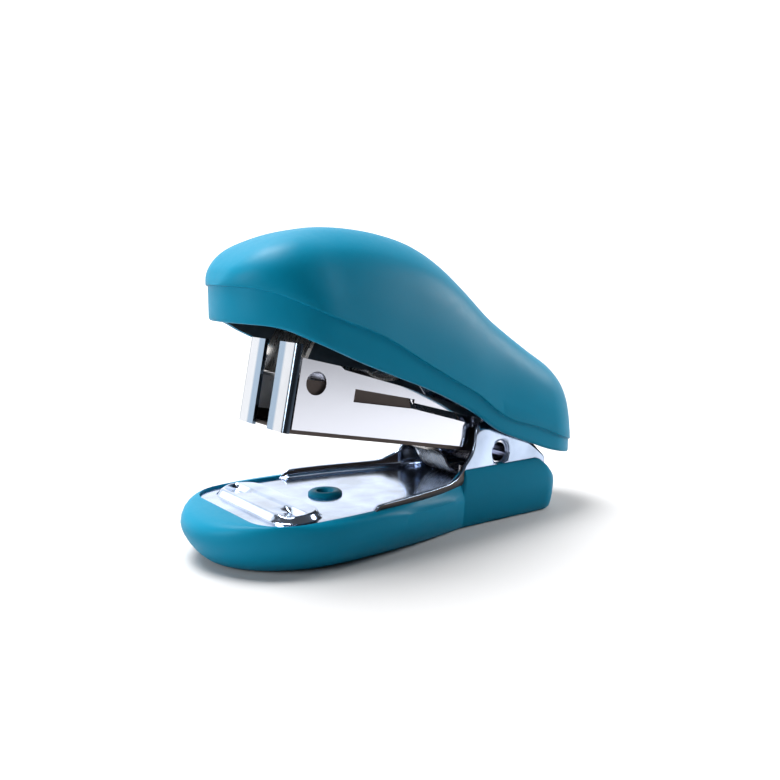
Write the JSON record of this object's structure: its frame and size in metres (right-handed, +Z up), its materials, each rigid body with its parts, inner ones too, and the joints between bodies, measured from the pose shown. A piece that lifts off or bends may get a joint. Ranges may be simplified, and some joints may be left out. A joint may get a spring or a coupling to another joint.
{
  "type": "mini stapler",
  "caption": "Compact hand stapler with a teal plastic top cover and base, a chromed hinged magazine, a driver blade and a clinch plate.",
  "frame": {"origin": "on the table, under the middle of the stapler's bounding box at rest", "axes": "+X from the nose to the tail, +Y across, +Z up"},
  "size_m": [0.0786, 0.0332, 0.0519],
  "materials": {
    "teal_plastic": "soft-touch moulded plastic",
    "chrome": "bright chrome plate",
    "spring_steel": "rolled spring steel",
    "staple_steel": "bright galvanised wire",
    "dark_plastic": "black moulded plastic"
  },
  "bodies": {
    "base": {"base_cover": "teal_plastic", "base_plate": "chrome", "hinge_pin": "chrome", "hinge_spacer": "chrome", "lift_spring": "spring_steel", "spring_rivet": "chrome"},
    "magazine": {"staple_channel": "chrome", "staple_strip": "staple_steel", "guide_rod": "spring_steel", "rod_washer": "chrome", "rod_seat": "chrome"},
    "housing": {"housing": "chrome"},
    "handle": {"top_cover": "teal_plastic", "handle_frame": "chrome", "driver_blade": "spring_steel", "blade_rivets": "spring_steel", "press_spring": "spring_steel", "press_spring_rivet": "chrome"},
    "pusher": {"pusher": "dark_plastic", "pusher_spring": "spring_steel"}
  },
  "joints": [
    {"name": "magazine_hinge", "type": "hinge", "parent": "base", "child": "magazine", "pos_m": [0.0164, 0, 0.0126], "axis": [0, 1, 0], "range_deg": [-15, 0], "stiffness_Nm_per_rad": 0.08, "springref_deg": 20.05, "deforming": ["lift_spring"]},
    {"name": "loading_hinge", "type": "hinge", "parent": "magazine", "child": "housing", "pos_m": [0.0164, 0, 0.0126], "axis": [0, 1, 0], "range_deg": [0, 13]},
    {"name": "press_hinge", "type": "hinge", "parent": "housing", "child": "handle", "pos_m": [0.0164, 0, 0.0126], "axis": [0, 1, 0], "range_deg": [-10.8, 0], "stiffness_Nm_per_rad": 0.1, "springref_deg": 14.32, "deforming": ["press_spring"]},
    {"name": "pusher_slide", "type": "slide", "parent": "magazine", "child": "pusher", "axis": [0.9806, 0, -0.1961], "range_m": [0, 0.0105], "stiffness_N_per_m": 60, "springref_m": -0.02, "deforming": ["pusher_spring"]}
  ]
}
